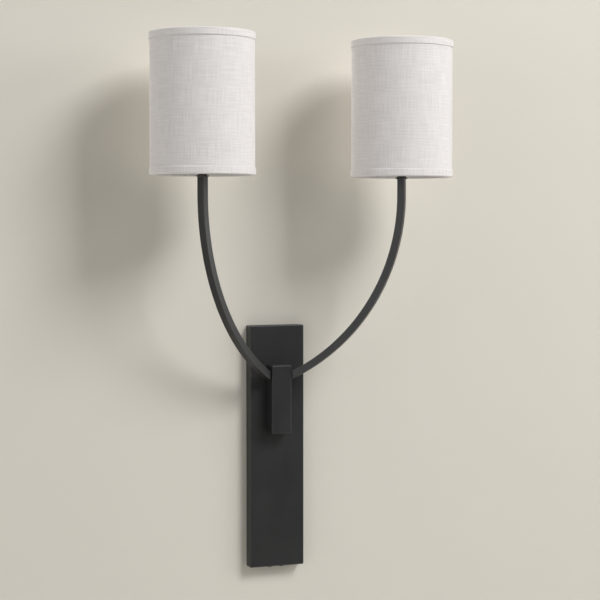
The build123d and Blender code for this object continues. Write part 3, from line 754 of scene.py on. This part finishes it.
def studio_sky():
    """Even light that is strongest at the far left and grows a little towards the far right."""
    settings = bpy.context.scene.sconce_studio
    world = bpy.data.worlds.new("studio_sky")
    world.use_nodes = True
    nodes, links = world.node_tree.nodes, world.node_tree.links
    background = nodes["Background"]
    background.inputs["Color"].default_value = (1.0, 1.0, 1.0, 1.0)
    direction = nodes.new("ShaderNodeSeparateXYZ")
    links.new(nodes.new("ShaderNodeTexCoord").outputs["Generated"], direction.inputs[0])
    total = nodes.new("ShaderNodeMath")
    # The range of X in the light's direction, and its strength at both ends
    glows = ((-0.9, -0.2, settings.sky_left, 0.0), (-1.0, 1.0, 0.0, settings.sky_right))
    for socket, numbers in zip(total.inputs, glows):
        remap = nodes.new("ShaderNodeMapRange")
        links.new(direction.outputs["X"], remap.inputs["Value"])
        for name, number in zip(("From Min", "From Max", "To Min", "To Max"), numbers):
            remap.inputs[name].default_value = number
        links.new(remap.outputs["Result"], socket)
    links.new(total.outputs[0], background.inputs["Strength"])
    return world


class SCONCE_OT_studio(Operator):
    """Makes the plain backdrop, the floor, the soft lights and the even light round them"""

    bl_idname = "sconce.studio"
    bl_label = "Studio"

    def execute(self, context):
        settings = context.scene.sconce_studio
        side, floor = settings.room_size, settings.floor_height
        top = cad_high.z + settings.headroom
        back = cad_high.y + settings.backdrop_gap
        stage_plane(
            "studio_floor",
            [(-side, -side, floor), (side, -side, floor),
             (side, side, floor), (-side, side, floor)],
            stage_paint("floor_paint", tuple(settings.floor_colour)))
        wall = stage_plane(
            "studio_backdrop",
            [(-side, back, floor), (side, back, floor),
             (side, back, top), (-side, back, top)],
            stage_paint("backdrop_paint", tuple(settings.wall_colour)))
        # The backdrop casts no shadow, so the back light reaches the side towards the wall
        wall.visible_shadow = False
        target = Vector(((cad_low.x + cad_high.x) / 2, cad_low.y / 2, (cad_low.z + cad_high.z) / 2))
        for name in LIGHTS:
            turn, rise = getattr(settings, name + "_turn"), getattr(settings, name + "_rise")
            away = Vector((
                math.sin(turn) * math.cos(rise), -math.cos(turn) * math.cos(rise), math.sin(rise)))
            light = area_light(f"{name}_light", target + away * settings.light_distance, target,
                               settings.light_size, getattr(settings, name + "_power"))
            light.visible_diffuse = "glint" not in name
        context.scene.world = studio_sky()
        context.scene.view_settings.view_transform = "Standard"
        return {"FINISHED"}


class SCONCE_OT_metalwork(Operator):
    """Powder coats the backplate, the block, the arms and their discs"""

    bl_idname = "sconce.metalwork"
    bl_label = "Metalwork"

    def execute(self, context):
        coat = powder_coat("black_powder_coat")
        dress(["backplate", "plate_screws", *both("arm"), *both("arm_disc")], coat)
        dress(["arm_block"], powder_coat("block_powder_coat", soft_edges=True))
        return {"FINISHED"}


class SCONCE_OT_shades(Operator):
    """Makes the linen covers and trims, and finishes the lining and the wire frames"""

    bl_idname = "sconce.shades"
    bl_label = "Shades"

    def execute(self, context):
        cloth, band_cloth = linen("shade_linen"), linen("trim_linen")
        dress(both("shade_liner"), styrene_lining())
        wire = smooth_plastic("white_wire_coating", (0.78, 0.78, 0.76), 0.32, 1400.0, spread=0.04)
        dress([*both("shade_fitter"), *both("shade_top_ring")], wire)
        for side, sign in zip(SIDES, (-1, 1)):
            centre = Vector((sign * LAMP_X, LAMP_Y, 0))
            cover = make_cover(side, centre, cloth)
            top = make_trim(side, "top", centre, band_cloth)
            bottom = make_trim(side, "bottom", centre, band_cloth)
            for piece, node in ((cover, "shade_cover"), (top, "shade_top_trim"),
                                (bottom, "shade_bottom_trim")):
                square_up(piece)
                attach(piece, f"{side}_shade")
                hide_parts(f"{side}_{node}")
        return {"FINISHED"}


class SCONCE_OT_lamp_holders(Operator):
    """Finishes the sockets, retaining rings, brass and nipples, and the plated fixing parts"""

    bl_idname = "sconce.lamp_holders"
    bl_label = "Lamp Holders"

    def execute(self, context):
        moulded = smooth_plastic("black_socket_plastic", (0.022, 0.020, 0.018), 0.34, 1200.0)
        dress([*both("socket_cap"), *both("socket_body"), *both("retaining_ring")], moulded)
        brass = drawn_metal(
            "spun_brass", (0.78, 0.58, 0.28), 0.30, (900.0, 900.0, 3500.0), (0.36, 0.24, 0.12))
        dress([*both("screw_shell"), *both("centre_contact")], brass)
        zinc = drawn_metal(
            "zinc_plate", (0.62, 0.63, 0.65), 0.38, (2600.0, 700.0, 900.0), (0.48, 0.47, 0.42))
        dress(both("arm_nipple"), zinc)
        dress(["mounting_strap", "hanger_clip", "block_screws", "block_washers"], zinc)
        return {"FINISHED"}


class SCONCE_OT_bulbs(Operator):
    """Finishes the tubular bulbs"""

    bl_idname = "sconce.bulbs"
    bl_label = "Bulbs"

    def execute(self, context):
        dress(both("bulb_glass"), frosted_glass())
        nickel = drawn_metal(
            "nickel_bulb_base", (0.70, 0.68, 0.64), 0.24, (900.0, 900.0, 3200.0),
            (0.45, 0.41, 0.34))
        dress(both("bulb_base"), nickel)
        dress(both("bulb_contact"), vitreous_contact())
        return {"FINISHED"}


class SCONCE_OT_wiring(Operator):
    """Finishes the leads, connectors, bushing and ground parts"""

    bl_idname = "sconce.wiring"
    bl_label = "Wiring"

    def execute(self, context):
        for node, name, colour, roughness, grain, depth in (
                ("hot_leads", "black_insulation", (0.016, 0.016, 0.017), 0.42, 2400.0, 0.01),
                ("neutral_leads", "white_insulation", (0.74, 0.73, 0.70), 0.42, 2400.0, 0.01),
                ("wire_bushing", "black_nylon", (0.030, 0.030, 0.031), 0.5, 1500.0, 0.01),
                ("wire_connectors", "orange_connector_plastic", (0.72, 0.20, 0.035), 0.30, 700.0,
                 0.03)):
            dress([node], smooth_plastic(name, colour, roughness, grain, depth))
        green = drawn_metal("green_ground_finish", (0.09, 0.34, 0.14), 0.36,
                            (1800.0, 1800.0, 1800.0), (0.04, 0.16, 0.07))
        dress(["ground_screw", "ground_lead"], green)
        return {"FINISHED"}


class SCONCE_PT_panel(Panel):
    """Lists the sconce's sizes, colours and building steps"""

    bl_idname = "SCONCE_PT_panel"
    bl_label = "Double Arm Wall Sconce"
    bl_space_type = "VIEW_3D"
    bl_region_type = "UI"
    bl_category = "Sconce"

    def draw(self, context):
        for group_name, group in SETTINGS:
            box = self.layout.box()
            box.label(text=group.__doc__)
            settings = getattr(context.scene, group_name)
            for name in group.__annotations__:
                box.prop(settings, name)
        for operator in STEPS:
            self.layout.operator(operator.bl_idname)


STEPS = (
    SCONCE_OT_camera,
    SCONCE_OT_studio,
    SCONCE_OT_metalwork,
    SCONCE_OT_shades,
    SCONCE_OT_lamp_holders,
    SCONCE_OT_bulbs,
    SCONCE_OT_wiring,
)


def register():
    for _, group in SETTINGS:
        bpy.utils.register_class(group)
    for made in (*STEPS, SCONCE_PT_panel):
        bpy.utils.register_class(made)
    for name, group in SETTINGS:
        setattr(bpy.types.Scene, name, PointerProperty(type=group))


def unregister():
    for name, _ in SETTINGS:
        delattr(bpy.types.Scene, name)
    for made in (SCONCE_PT_panel, *reversed(STEPS)):
        bpy.utils.unregister_class(made)
    for _, group in reversed(SETTINGS):
        bpy.utils.unregister_class(group)


def main():
    register()
    for operator in STEPS:
        group, name = operator.bl_idname.split(".")
        getattr(getattr(bpy.ops, group), name)()
    bpy.context.view_layer.update()


if __name__ == "__main__":
    main()
